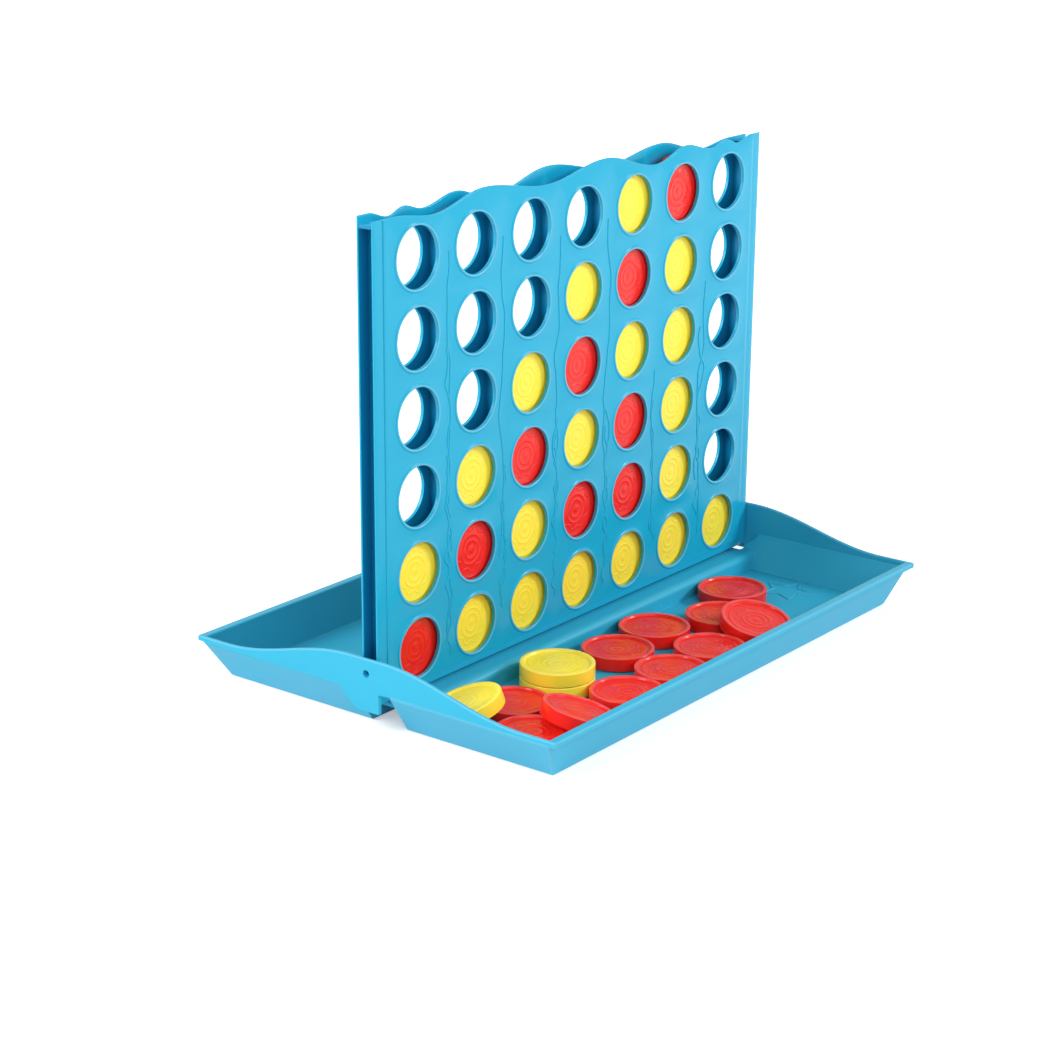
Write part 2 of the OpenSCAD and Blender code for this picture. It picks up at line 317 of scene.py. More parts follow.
def moulded_plastic(name, colour, painted_shade, roughness, sheen_level, grain_mm, grain_depth, flow=0.03):
    """Injection-moulded plastic: even colour with faint flow clouds, painted shade inside the slot, painted
    highlights on outward edges, a satin gloss, fine grain, etched floors.
    """
    material = bpy.data.materials.new(name)
    material.use_nodes = True
    tree = material.node_tree
    tree.nodes.clear()
    place = add(tree, "ShaderNodeTexCoord").outputs["Object"]
    # Flow clouds about 45 mm across, where the melt met the mould a little cooler or hotter
    cloud = 1 / (45 * MM)
    clouds = add(tree, "ShaderNodeTexNoise", {"Vector": place, "Scale": cloud, "Detail": 3.0, "Roughness": 0.55})
    dark = [c * (1 - 2 * flow) for c in colour[:3]] + [1.0]
    light = [min(1, c * (1 + 1.5 * flow)) for c in colour[:3]] + [1.0]
    tint = add(tree, "ShaderNodeMix", {0: clouds.outputs["Fac"], 6: dark, 7: light}, data_type="RGBA")
    # Painted shade: faces inside the slot, which light hardly reaches, are mixed towards the darker shade colour
    inner = add(tree, "ShaderNodeAttribute", attribute_name="inner").outputs["Fac"]
    inside = add(tree, "ShaderNodeMix", {0: inner, 6: tint.outputs[2], 7: painted_shade}, data_type="RGBA")
    # Painted highlight: outward edges marked as crests are mixed towards a paler colour, standing for the light they
    # catch
    crest = add(tree, "ShaderNodeAttribute", attribute_name="crest").outputs["Fac"]
    pale_with_sheen = [c + 0.25 * (1 - c) for c in colour[:3]] + [1.0]
    share = add(tree, "ShaderNodeMath", {0: crest, 1: 0.5}, operation="MULTIPLY")
    edged = add(tree, "ShaderNodeMix", {0: share.outputs[0], 6: inside.outputs[2], 7: pale_with_sheen}, data_type="RGBA")
    # Level floors are etched: they look matter and grainier than the polished walls
    etched = add(tree, "ShaderNodeAttribute", attribute_name="etched").outputs["Fac"]
    spread = {"From Min": 0.3, "From Max": 0.7, "To Min": roughness - 0.04, "To Max": roughness + 0.05}
    sheen = add(tree, "ShaderNodeMapRange", {"Value": clouds.outputs["Fac"], **spread})
    matte = add(tree, "ShaderNodeMath", {0: etched, 1: 0.22, 2: sheen.outputs[0]}, operation="MULTIPLY_ADD")
    # Tool grain, drawn several times coarser than the real 0.1 mm so that it shows
    fine, deepness = 1 / (grain_mm * MM), grain_depth * MM
    grain = add(tree, "ShaderNodeTexNoise", {"Vector": place, "Scale": fine, "Detail": 2.0, "Roughness": 0.6})
    depth = add(tree, "ShaderNodeMath", {0: etched, 1: 2.5 * deepness, 2: deepness}, operation="MULTIPLY_ADD")
    relief = {"Height": grain.outputs["Fac"], "Distance": depth.outputs[0], "Strength": 0.5}
    bump = add(tree, "ShaderNodeBump", relief)
    shader = add(
        tree,
        "ShaderNodeBsdfPrincipled",
        {
            "Base Color": edged.outputs[2],
            "Roughness": matte.outputs[0],
            "Specular IOR Level": sheen_level,
            "Normal": bump.outputs[0],
        },
    )
    add(tree, "ShaderNodeOutputMaterial", {"Surface": shader.outputs[0]})
    return material


FINISH = {}


class GAME_OT_finishes(bpy.types.Operator):
    """Makes the moulded plastics"""

    bl_idname = "four_row.finishes"
    bl_label = "Plastics"

    def execute(self, context):
        colours = settings().finishes
        blue, pale_with_sheen, painted_shade = tuple(colours.blue), tuple(colours.pale_with_sheen), tuple(colours.painted_shade)
        red, yellow = tuple(colours.red), tuple(colours.yellow)
        plastics = (  # key, name, colour, painted shade colour, roughness, sheen, grain width and depth in mm
            ("satin", "ABS blue, moulded satin", pale_with_sheen, pale_with_sheen, 0.36, 0.25, 0.9, 0.03),
            ("polished", "ABS blue, moulded in a polished tool", blue, painted_shade, 0.22, 0.22, 0.9, 0.015),
            ("red", "Polystyrene red, moulded satin", red, red, 0.2, 0.28, 0.8, 0.04),
            ("yellow", "Polystyrene yellow, moulded satin", yellow, yellow, 0.26, 0.35, 0.8, 0.04),
        )
        for key, *values in plastics:
            FINISH[key] = moulded_plastic(*values)
        return {"FINISHED"}


# Rounded copies of the solids


ROOM = 2.4  # room that a rounding needs beside its edge, in radii


def rounded_copy(node, radius, fine=None, segments=3, spare=None):
    """A merged copy of a CAD node's mesh with its broad edges rounded first and then, if asked, the fine ones."""
    mesh = NODES[node].data.copy()
    shape = bmesh.new()
    shape.from_mesh(mesh)
    bmesh.ops.remove_doubles(shape, verts=shape.verts, dist=1e-6)
    flat = math.radians(0.5)
    bmesh.ops.dissolve_limit(shape, angle_limit=flat, verts=shape.verts, edges=shape.edges, delimit=set())
    shape.to_mesh(mesh)
    shape.free()
    mesh.materials.clear()
    for _ in range(2):  # slots of the flat faces and of the roundings
        mesh.materials.append(None)
    mesh = bevelled(mesh, radius, segments, ROOM * radius if fine else 0, spare)
    if fine:
        mesh = bevelled(mesh, fine, 2, ROOM * fine)
    mark_painted_highlights(mesh)
    return evenly_shaded(mesh)


def evenly_shaded(mesh):
    """The mesh shaded so that flat faces look flat up to their rounded edges."""
    smooth(mesh, 50)
    obj = link("scratch", mesh)
    shading = obj.modifiers.new("Shading", "WEIGHTED_NORMAL")
    shading.weight = 100
    shading.keep_sharp = True
    return baked(obj)


def room(edge):
    """The least width of the two faces at an edge, square to the edge."""
    least = math.inf
    along = (edge.verts[1].co - edge.verts[0].co).normalized()
    for face in edge.link_faces:
        across = along.cross(face.normal)
        reach = [abs((v.co - edge.verts[0].co).dot(across)) for v in face.verts]
        least = min(least, max(reach))
    return least


def bevelled(mesh, radius, segments, needs, spare=None):
    """The mesh with its sharp edges rounded where there is room beside them; the new faces get slot 1."""
    shape = bmesh.new()
    shape.from_mesh(mesh)
    layers = shape.edges.layers.float
    weight = layers.get("bevel_weight_edge") or layers.new("bevel_weight_edge")
    steep = math.radians(20)
    for edge in shape.edges:
        sharp = len(edge.link_faces) == 2 and edge.calc_face_angle() > steep and not (spare and spare(edge))
        edge[weight] = 1.0 if sharp and min(room(edge), edge.calc_length()) >= needs else 0.0
    shape.to_mesh(mesh)
    shape.free()
    obj = link("scratch", mesh)
    bevel = obj.modifiers.new("Rounding", "BEVEL")
    bevel.limit_method = "WEIGHT"
    bevel.width = radius
    bevel.segments = segments
    bevel.use_clamp_overlap = needs == 0
    bevel.material = 1
    return baked(obj)


def mark_painted_highlights(mesh):
    """Marks the outward roundings for a painted highlight, a paler colour than the faces beside them, and empties
    the slots.
    """
    shape = bmesh.new()
    shape.from_mesh(mesh)
    crest = shape.faces.layers.float.new("crest")
    for face in shape.faces:
        turn = sum(e.calc_face_angle_signed(0) for e in face.edges)
        face[crest] = 0.4 if face.material_index == 1 and turn > 0 else 0.0
        face.material_index = 0
    shape.to_mesh(mesh)
    shape.free()


# Base


class GAME_OT_base(bpy.types.Operator):
    """Makes the folding base with its trays, end flanges and ledge, its moulded edges rounded"""

    bl_idname = "four_row.base"
    bl_label = "Base"

    def execute(self, context):
        sizes = settings().base
        mesh = rounded_copy("base_tray", sizes.edge, sizes.fine_edge, spare=self.at_notch)
        mark_faces(mesh, "etched", lambda face: face.normal.z > 0.99 and face.center.z < sizes.etched)
        finish_piece("base", mesh, FINISH["satin"], "base", "blue_plastic", "base_tray")
        return {"FINISHED"}

    def at_notch(self, edge):
        """Whether an edge belongs to the small shapes round the end notches."""
        sizes = settings().base
        return all(abs(v.co.y) < sizes.notch_reach and v.co.z < sizes.notch_height for v in edge.verts)


# Grid


WAVE = (
    (-0.35, -1.1), (0.27, -3.3), (1.17, 2.8), (2.29, -1.8), (3.40, 3.6), (4.46, -3.6),
    (5.08, 1.6), (5.64, -2.1), (5.95, 0.3), (6.21, -2.3), (6.53, 0.4),
)  # crests and troughs of the top edge: place in columns from the first, height in mm


def wave(x):
    """Height of the wavy top over its mean, at a place along the grid."""
    grid = settings().grid
    place = x / grid.column_pitch + (grid.columns - 1) / 2
    if place <= WAVE[0][0]:
        return WAVE[0][1] * MM
    for (a, low), (b, high) in zip(WAVE, WAVE[1:]):
        if place <= b:
            return (low + (high - low) * (1 - math.cos(math.pi * (place - a) / (b - a))) / 2) * MM
    return WAVE[-1][1] * MM


def cell_tile(steps):
    """One perforated cell of a panel, open at its four sides: depth runs out of the slot towards -Y."""
    grid = settings().grid
    half_x, half_z = grid.column_pitch / 2, grid.row_pitch / 2
    shares = [2 * k / steps - 1 for k in range(steps)]
    border = [(half_x, half_z * u) for u in shares] + [(-half_x * u, half_z) for u in shares]
    border += [(-half_x, -half_z * u) for u in shares] + [(half_x * u, -half_z) for u in shares]
    inner = grid.hole / 2
    outer = inner + grid.bead
    face, crown = grid.panel, grid.panel + grid.bead_height
    lip, back, soft = grid.lip, grid.back_edge, grid.step_edge
    rings = [(inner + back, 0), (inner + 0.28 * back, 0.28 * back), (inner, back), (inner, crown - lip)]
    for turn in (30, 60, 90):
        a = math.radians(turn)
        rings.append((inner + lip * (1 - math.cos(a)), crown - lip * (1 - math.sin(a))))
    for turn in (0, 30, 60):
        a = math.radians(turn)
        rings.append((outer - lip + lip * math.sin(a), crown - lip * (1 - math.cos(a))))
    rings += [(outer, face + 0.5 * soft), (outer + 0.3 * soft, face + 0.15 * soft), (outer + soft, face)]
    spread = [(x, z, math.hypot(x, z)) for x, z in border]
    rows = [[(x, 0, z) for x, z in border]]
    rows += [[(radius * x / reach, -depth, radius * z / reach) for x, z, reach in spread] for radius, depth in rings]
    rows += [[(x, -face, z) for x, z in border]]
    points, faces = [], []
    add_rows(points, faces, rows, closed=True)
    return mesh_of("cell tile", points, faces)


def perforation_tree():
    """Repeats a cell over the columns and rows of a panel and joins the cells."""
    tree, given = new_tree(
        "Perforated panel", Columns="Int", Rows="Int", Column_Pitch="Float", Row_Pitch="Float",
        Lowest_Row="Float", Material="Material",
    )
    spans = []
    for many, pitch in (("Columns", "Column Pitch"), ("Rows", "Row Pitch")):
        gaps = add(tree, "ShaderNodeMath", {0: given.outputs[many], 1: -1.0}, operation="ADD")
        span = {0: gaps.outputs[0], 1: given.outputs[pitch]}
        spans.append(add(tree, "ShaderNodeMath", span, operation="MULTIPLY"))
    width, height = spans
    cells = add(
        tree,
        "GeometryNodeMeshGrid",
        {
            "Size X": width.outputs[0],
            "Size Y": height.outputs[0],
            "Vertices X": given.outputs["Columns"],
            "Vertices Y": given.outputs["Rows"],
        },
    )
    lowest = given.outputs["Lowest Row"]
    middle = add(tree, "ShaderNodeMath", {0: height.outputs[0], 1: 0.5, 2: lowest}, operation="MULTIPLY_ADD")
    lift = add(tree, "ShaderNodeCombineXYZ", {"Z": middle.outputs[0]})
    upright = add(
        tree,
        "GeometryNodeTransform",
        {"Geometry": cells.outputs["Mesh"], "Translation": lift.outputs[0], "Rotation": (math.radians(90), 0, 0)},
    )
    tiles = add(
        tree, "GeometryNodeInstanceOnPoints", {"Points": upright.outputs[0], "Instance": given.outputs["Geometry"]}
    )
    joined = add(tree, "GeometryNodeRealizeInstances", {"Geometry": tiles.outputs[0]})
    merged = add(tree, "GeometryNodeMergeByDistance", {"Geometry": joined.outputs[0], "Distance": 0.005 * MM})
    close_tree(tree, merged.outputs[0], given.outputs["Material"])
    return tree


def end_band(field_x):
    """Cross-section of a panel's end band: from the field's face round the end and back along the slot."""
    grid = settings().grid
    soft, r, low = grid.step_edge, grid.edge, grid.panel - grid.band_step
    step_x = field_x + grid.bar / 2
    end_x = step_x + grid.band_width
    band = [(field_x, grid.panel), (step_x - soft, grid.panel), (step_x - 0.3 * soft, grid.panel - 0.3 * soft)]
    band += [(step_x, grid.panel - soft), (step_x + 0.1 * soft, low + 0.4 * soft), (step_x + 0.5 * soft, low)]
    band += [(end_x - 3 * MM, low)]
    back = [(x, 0.0) for x, d in reversed(band)]
    for turn in range(0, 181, 30):
        a = math.radians(turn)
        band.append((end_x - r + r * math.sin(a), low / 2 + low / 2 * math.cos(a)))
    return band + back


def squeezed(depth, sheet, share):
    """A depth in a sheet, closed in from both faces towards the middle by a share."""
    return min(max(depth, sheet / 2 * share), sheet - sheet / 2 * share)


def panel_mesh():
    """The front panel: perforated field, stepped edge bands, rounded foot, ends and wavy top."""
    grid = settings().grid
    steps = 20
    mesh = grown(
        cell_tile(steps), perforation_tree(), Columns=grid.columns, Rows=grid.rows, Column_Pitch=grid.column_pitch,
        Row_Pitch=grid.row_pitch, Lowest_Row=grid.lowest_row, Material=FINISH["polished"],
    )
    field_x = grid.columns * grid.column_pitch / 2
    foot = grid.lowest_row - grid.row_pitch / 2
    crest = foot + grid.rows * grid.row_pitch
    soft, r, low = grid.step_edge, grid.edge, grid.panel - grid.band_step
    clear = grid.hole / 2 + grid.bead + soft
    low_bead = grid.lowest_row - clear
    high_bead = grid.lowest_row + (grid.rows - 1) * grid.row_pitch + clear

    def settle(x, z):
        """Moves the field's outermost line to the foot band's edge or under the wavy top."""
        if z < low_bead:
            return low_bead + (z - low_bead) * (grid.band_top - low_bead) / (foot - low_bead)
        if z > high_bead:
            top = grid.top + wave(x) - grid.edge
            return high_bead + (z - high_bead) * (top - high_bead) / (crest - high_bead)
        return z

    for point in mesh.vertices:
        point.co.z = settle(point.co.x, point.co.z)

    # The end bands, beside the field
    points, faces = [], []
    band = end_band(field_x)
    levels = [foot + grid.row_pitch * k / steps for k in range(grid.rows * steps + 1)]
    for side in (1, -1):
        add_rows(points, faces, [[(side * x, -d, settle(side * field_x, z)) for x, d in band] for z in levels])

    # The foot and the top, with a closed outline: face left to right, right end, slot side right to left, left end
    xs = [-field_x + 2 * field_x * k / (grid.columns * steps) for k in range(grid.columns * steps + 1)]
    outline = [(x, grid.panel) for x in xs] + band[1:-1] + [(x, 0.0) for x in reversed(xs)]
    outline += [(-x, d) for x, d in reversed(band[1:-1])]
    foot_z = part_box("front_panel")[0].z
    down = [[(x, -d, grid.band_top) for x, d in outline]]
    for depth, drop in ((grid.panel - 0.3 * soft, 0.3 * soft), (grid.panel - soft, 0.5 * soft), (low, soft)):
        down.append([(x, -min(d, depth), grid.band_top - drop) for x, d in outline])
    for t in range(0, 91, 30):
        a = math.radians(t)
        share = 1 - math.cos(a)
        down.append([(x, -squeezed(min(d, low), low, share), foot_z + r * (1 - math.sin(a))) for x, d in outline])
    add_rows(points, faces, down, closed=True)
    up = []
    for t in range(0, 91, 15):
        a = math.radians(t)
        share = 1 - math.cos(a)
        sunk = grid.top - r * (1 - math.sin(a))
        up.append([
            (x, -squeezed(d, grid.panel, share), sunk + wave(max(-field_x, min(field_x, x)))) for x, d in outline
        ])
    add_rows(points, faces, up, closed=True)

    shape = bmesh.new()
    shape.from_mesh(mesh)
    edge = mesh_of("panel edge", points, faces)
    shape.from_mesh(edge)
    bmesh.ops.remove_doubles(shape, verts=shape.verts, dist=0.006 * MM)
    bmesh.ops.dissolve_degenerate(shape, dist=0.002 * MM, edges=shape.edges)
    bmesh.ops.recalc_face_normals(shape, faces=shape.faces)
    if shape.calc_volume(signed=True) < 0:
        bmesh.ops.reverse_faces(shape, faces=shape.faces)
    shape.to_mesh(mesh)
    shape.free()
    bpy.data.meshes.remove(edge)
    mesh.transform(Matrix.Translation((0, -grid.slot / 2, 0)))
    return mesh


def ripple_lines_tree():
    """Draws one rippling line up a panel's face in each gap between its columns, each of its own length."""
    tree, given = new_tree(
        "Rippling lines", Columns="Int", Column_Pitch="Float", Foot="Float", Rise="Float", Swing="Float",
        Wave="Float", Line_Width="Float", Line_Height="Float", Face="Float", Seed="Int", Material="Material",
    )
    gaps = add(tree, "ShaderNodeMath", {0: given.outputs["Columns"], 1: -1.0}, operation="ADD")
    last = add(tree, "ShaderNodeMath", {0: given.outputs["Columns"], 1: -0.5, 2: 1.0}, operation="MULTIPLY_ADD")
    left = add(tree, "ShaderNodeMath", {0: last.outputs[0], 1: given.outputs["Column Pitch"]}, operation="MULTIPLY")
    start = add(tree, "ShaderNodeCombineXYZ", {"X": left.outputs[0], "Z": given.outputs["Foot"]})
    step = add(tree, "ShaderNodeCombineXYZ", {"X": given.outputs["Column Pitch"]})
    spots = add(
        tree,
        "GeometryNodeMeshLine",
        {"Count": gaps.outputs[0], "Start Location": start.outputs[0], "Offset": step.outputs[0]},
    )
    tip = add(tree, "ShaderNodeCombineXYZ", {"Z": given.outputs["Rise"]})
    straight = add(tree, "GeometryNodeCurvePrimitiveLine", {"End": tip.outputs[0]})
    fine = add(tree, "GeometryNodeResampleCurve", {"Curve": straight.outputs[0], "Count": 120})
    copies = add(tree, "GeometryNodeInstanceOnPoints", {"Points": spots.outputs[0], "Instance": fine.outputs[0]})
    lines = add(tree, "GeometryNodeRealizeInstances", {"Geometry": copies.outputs[0]})
    # A slow bend sideways, other in each gap
    where = add(tree, "GeometryNodeInputPosition")
    pitch = given.outputs["Column Pitch"]
    apart = add(tree, "ShaderNodeMath", {0: given.outputs["Seed"], 1: pitch}, operation="MULTIPLY")
    aside = add(tree, "ShaderNodeCombineXYZ", {"Y": apart.outputs[0]})
    moved = add(tree, "ShaderNodeVectorMath", {0: where.outputs[0], 1: aside.outputs[0]}, operation="ADD")
    often = add(tree, "ShaderNodeMath", {0: 1.0, 1: given.outputs["Wave"]}, operation="DIVIDE")
    bend = add(
        tree,
        "ShaderNodeTexNoise",
        {"Vector": moved.outputs[0], "Scale": often.outputs[0], "Detail": 2.0, "Roughness": 0.45},
    )
    wide = add(
        tree,
        "ShaderNodeMapRange",
        {"Value": bend.outputs["Fac"], "From Min": 0.25, "From Max": 0.75, "To Min": -1.0, "To Max": 1.0},
    )
    stray = add(tree, "ShaderNodeMath", {0: wide.outputs[0], 1: given.outputs["Swing"]}, operation="MULTIPLY")
    sideways = add(tree, "ShaderNodeCombineXYZ", {"X": stray.outputs[0]})
    bent = add(tree, "GeometryNodeSetPosition", {"Geometry": lines.outputs[0], "Offset": sideways.outputs[0]})
    # Each line starts in the lowest third of its length and ends in the upper half
    begin = add(tree, "FunctionNodeRandomValue", {2: 0.0, 3: 0.3, "Seed": given.outputs["Seed"]})
    more = add(tree, "ShaderNodeMath", {0: given.outputs["Seed"], 1: 50.0}, operation="ADD")
    end = add(tree, "FunctionNodeRandomValue", {2: 0.5, 3: 1.0, "Seed": more.outputs[0]})
    ends = {"Curve": bent.outputs[0], 2: begin.outputs[1], 3: end.outputs[1]}
    cut = add(tree, "GeometryNodeTrimCurve", ends, mode="FACTOR")
    half = add(tree, "ShaderNodeMath", {0: given.outputs["Line Width"], 1: 0.5}, operation="MULTIPLY")
    section = add(tree, "GeometryNodeCurvePrimitiveCircle", {"Resolution": 10, "Radius": half.outputs[0]})
    ropes = add(
        tree,
        "GeometryNodeCurveToMesh",
        {"Curve": cut.outputs[0], "Profile Curve": section.outputs[0], "Fill Caps": True},
    )
    flat = add(tree, "ShaderNodeMath", {0: given.outputs["Line Height"], 1: half.outputs[0]}, operation="DIVIDE")
    squash = add(tree, "ShaderNodeCombineXYZ", {"X": 1.0, "Y": flat.outputs[0], "Z": 1.0})
    out = add(tree, "ShaderNodeMath", {0: given.outputs["Face"], 1: -1.0}, operation="MULTIPLY")
    to_face = add(tree, "ShaderNodeCombineXYZ", {"Y": out.outputs[0]})
    relief = add(
        tree,
        "GeometryNodeTransform",
        {"Geometry": ropes.outputs[0], "Translation": to_face.outputs[0], "Scale": squash.outputs[0]},
    )
    joined = add(tree, "GeometryNodeJoinGeometry")
    for part in (given.outputs["Geometry"], relief.outputs[0]):
        tree.links.new(part, joined.inputs[0])
    close_tree(tree, joined.outputs[0], given.outputs["Material"])
    return tree


LINES = ((3, 1.0, 1.0), (8, 0.75, 0.55), (15, 0.5, 0.3))  # seed, share of the height, share of the wave


class GAME_OT_panels(bpy.types.Operator):
    """Makes the front and rear panels, the rear one turned half round"""

    bl_idname = "four_row.panels"
    bl_label = "Panels"

    def execute(self, context):
        grid = settings().grid
        mesh = panel_mesh()
        face = grid.slot / 2 + grid.panel
        crown = face + grid.bead_height / 2
        # Painted highlight: the bead crowns next to the holes get a paler colour
        mark_points(mesh, "crest", 1.0, lambda spot: -spot.y > crown and self.beside(spot) < grid.shine)
        # Painted shade: the slot-side faces below the end caps get the darker shade colour
        shaded = grid.cap - 2 * MM
        mark_points(mesh, "inner", 1.0, lambda spot: -spot.y < grid.slot / 2 + 0.05 * MM and spot.z < shaded)
        lines = ripple_lines_tree()
        for seed, share, wave_share in LINES:
            mesh = grown(
                mesh, lines, Columns=grid.columns, Column_Pitch=grid.column_pitch, Foot=grid.band_top + 2 * MM,
                Rise=share * (grid.rows - 0.4) * grid.row_pitch, Swing=grid.line_swing,
                Wave=wave_share * grid.line_wave, Line_Width=grid.line, Line_Height=grid.line_height, Face=face,
                Seed=seed, Material=FINISH["polished"],
            )
        smooth(mesh, 40)
        rear = mesh.copy()
        rear.transform(Matrix.Rotation(math.pi, 4, "Z"))
        finish_piece("front_panel_moulding", mesh, FINISH["polished"], "grid", "blue_plastic", "front_panel")
        finish_piece("rear_panel_moulding", rear, FINISH["polished"], "grid", "blue_plastic", "rear_panel")
        return {"FINISHED"}

    def beside(self, spot):
        """How far a spot on a panel lies outside the hole next to it."""
        grid = settings().grid
        column = round(spot.x / grid.column_pitch)
        row = round((spot.z - grid.lowest_row) / grid.row_pitch)
        across, up = spot.x - column * grid.column_pitch, spot.z - grid.lowest_row - row * grid.row_pitch
        return math.hypot(across, up) - grid.hole / 2


class GAME_OT_frame(bpy.types.Operator):
    """Makes the bars, rail, posts, pegs and pivot pins between the panels"""

    bl_idname = "four_row.frame"
    bl_label = "Grid frame"

    def execute(self, context):
        grid = settings().grid
        for node in ("column_bars", "bottom_rail", "left_end_post", "right_end_post", "assembly_pegs"):
            mesh = rounded_copy(node, grid.bar_edge, segments=2)
            # Painted shade: the frame's faces below the end caps, inside the slot, get the darker shade colour
            mark_faces(mesh, "inner", lambda face: face.center.z < grid.cap)
            finish_piece(node + "_moulding", mesh, FINISH["polished"], "grid", "blue_plastic", node)
        for node, side in (("left_pivot_pin", -1), ("right_pivot_pin", 1)):
            finish_piece(node + "_moulding", pin_mesh(node, side), FINISH["polished"], "grid", "blue_plastic", node)
        return {"FINISHED"}


def pin_mesh(node, side):
    """A pivot pin with rounded ends, its outer end cored out; its axis runs along X."""
    pin = settings().pin
    low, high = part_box(node)
    middle = (low + high) / 2
    r, half = (high.z - low.z) / 2, (high.x - low.x) / 2
    e, core = pin.edge, pin.core / 2
    floor = half - pin.core_depth
    profile = [(0, -half), (r - e, -half), (r - 0.3 * e, -half + 0.3 * e), (r, -half + e), (r, half - e)]
    profile += [(r - 0.3 * e, half - 0.3 * e), (r - e, half), (core, half), (core, floor), (0, floor)]
    points, faces = turned(profile, 48)
    mesh = mesh_of(node, [(z, x, y) for x, y, z in points], faces)
    tidy_up(mesh)
    mesh.transform(Matrix.Translation(middle) @ Matrix.Rotation(0 if side > 0 else math.pi, 4, "Z"))
    smooth(mesh, 40)
    return mesh


# Discs


RINGS = (0.74, 0.37, 0.22)  # inner radius of each ring on a disc, in disc radii


def disc_body(turns):
    """A disc lying flat on the origin: rounded rim, dished faces, three rings and a button."""
    disc = settings().disc
    R, h = disc.diameter / 2, disc.thickness / 2
    floor = h - disc.dish
    dish_r = R - disc.rim
    profile = [(R, 0.0)]
    for t in range(0, 91, 15):
        a = math.radians(t)
        profile.append((R - disc.edge * (1 - math.cos(a)), h - disc.edge * (1 - math.sin(a))))
    for t in range(0, 61, 20):
        a = math.radians(t)
        inward = dish_r + disc.inner_lean + disc.inner_edge * (1 - math.sin(a))
        profile.append((inward, h - disc.inner_edge * (1 - math.cos(a))))
    profile.append((dish_r + 0.4 * disc.inner_lean, floor + disc.foot))
    profile += [(dish_r - 0.08 * disc.foot, floor + 0.32 * disc.foot), (dish_r - disc.foot, floor)]
    for share in RINGS:
        middle = share * R + disc.ring_width / 2
        for k in range(7):
            u = 1 - k / 3
            rise = disc.ring_height * (1 + math.cos(math.pi * u)) / 2
            profile.append((middle + u * disc.ring_width / 2, floor + rise))
    for k in range(5):
        u = k / 4
        rise = disc.ring_height * (1 - math.cos(math.pi * u)) / 2
        profile.append((disc.button - disc.button_edge * u, floor + rise))
    points, faces = turned(profile, turns)
    faces.append([(len(profile) - 1) * turns + k for k in range(turns)])
    upper = mesh_of("disc half", points, faces)
    shape = bmesh.new()
    shape.from_mesh(upper)
    upper.transform(Matrix.Rotation(math.pi, 4, "X"))
    shape.from_mesh(upper)
    bmesh.ops.remove_doubles(shape, verts=shape.verts, dist=0.001 * MM)
    bmesh.ops.recalc_face_normals(shape, faces=shape.faces)
    shape.to_mesh(upper)
    shape.free()
    return upper


def ripple_tree():
    """Adds a rippled ring to both faces of a disc."""
    tree, given = new_tree(
        "Rippled ring", Radius="Float", Swell="Float", Lobes="Int", Line_Width="Float", Line_Height="Float",
        Face_Height="Float", Material="Material",
    )
    path = add(tree, "GeometryNodeCurvePrimitiveCircle", {"Resolution": 108, "Radius": given.outputs["Radius"]})
    share = add(tree, "GeometryNodeSplineParameter")
    turn = add(tree, "ShaderNodeMath", {0: share.outputs["Factor"], 1: TURN}, operation="MULTIPLY")
    beat = add(tree, "ShaderNodeMath", {0: turn.outputs[0], 1: given.outputs["Lobes"]}, operation="MULTIPLY")
    swing = add(tree, "ShaderNodeMath", {0: beat.outputs[0]}, operation="SINE")
    reach = add(tree, "ShaderNodeMath", {0: swing.outputs[0], 1: given.outputs["Swell"]}, operation="MULTIPLY")
    where = add(tree, "GeometryNodeInputPosition")
    out = add(tree, "ShaderNodeVectorMath", {0: where.outputs[0]}, operation="NORMALIZE")
    shift = add(tree, "ShaderNodeVectorMath", {0: out.outputs[0], "Scale": reach.outputs[0]}, operation="SCALE")
    swung = add(tree, "GeometryNodeSetPosition", {"Geometry": path.outputs[0], "Offset": shift.outputs[0]})
    half = add(tree, "ShaderNodeMath", {0: given.outputs["Line Width"], 1: 0.5}, operation="MULTIPLY")
    section = add(tree, "GeometryNodeCurvePrimitiveCircle", {"Resolution": 8, "Radius": half.outputs[0]})
    rope = add(
        tree, "GeometryNodeCurveToMesh", {"Curve": swung.outputs[0], "Profile Curve": section.outputs[0]}
    )
    flat = add(tree, "ShaderNodeMath", {0: given.outputs["Line Height"], 1: half.outputs[0]}, operation="DIVIDE")
    squash = add(tree, "ShaderNodeCombineXYZ", {"X": 1.0, "Y": 1.0, "Z": flat.outputs[0]})
    up = add(tree, "ShaderNodeCombineXYZ", {"Z": given.outputs["Face Height"]})
    line = add(
        tree,
        "GeometryNodeTransform",
        {"Geometry": rope.outputs[0], "Translation": up.outputs[0], "Scale": squash.outputs[0]},
    )
    back = add(tree, "GeometryNodeTransform", {"Geometry": line.outputs[0], "Rotation": (math.pi, 0, 0)})
    joined = add(tree, "GeometryNodeJoinGeometry")
    for part in (given.outputs["Geometry"], line.outputs[0], back.outputs[0]):
        tree.links.new(part, joined.inputs[0])
    close_tree(tree, joined.outputs[0], given.outputs["Material"])
    return tree


def disc_place(node):
    """Where a disc lies: its centre and the turn of its axis, read from its CAD solid."""
    co = np.array([v.co for v in NODES[node].data.vertices], float)
    centre = (co.min(0) + co.max(0)) / 2
    axis = np.linalg.svd(co - centre, full_matrices=False)[2][2]
    axis = Vector(axis if axis[int(np.argmax(np.abs(axis)))] > 0 else -axis)
    return Matrix.Translation(Vector(centre)) @ axis.to_track_quat("Z", "Y").to_matrix().to_4x4()


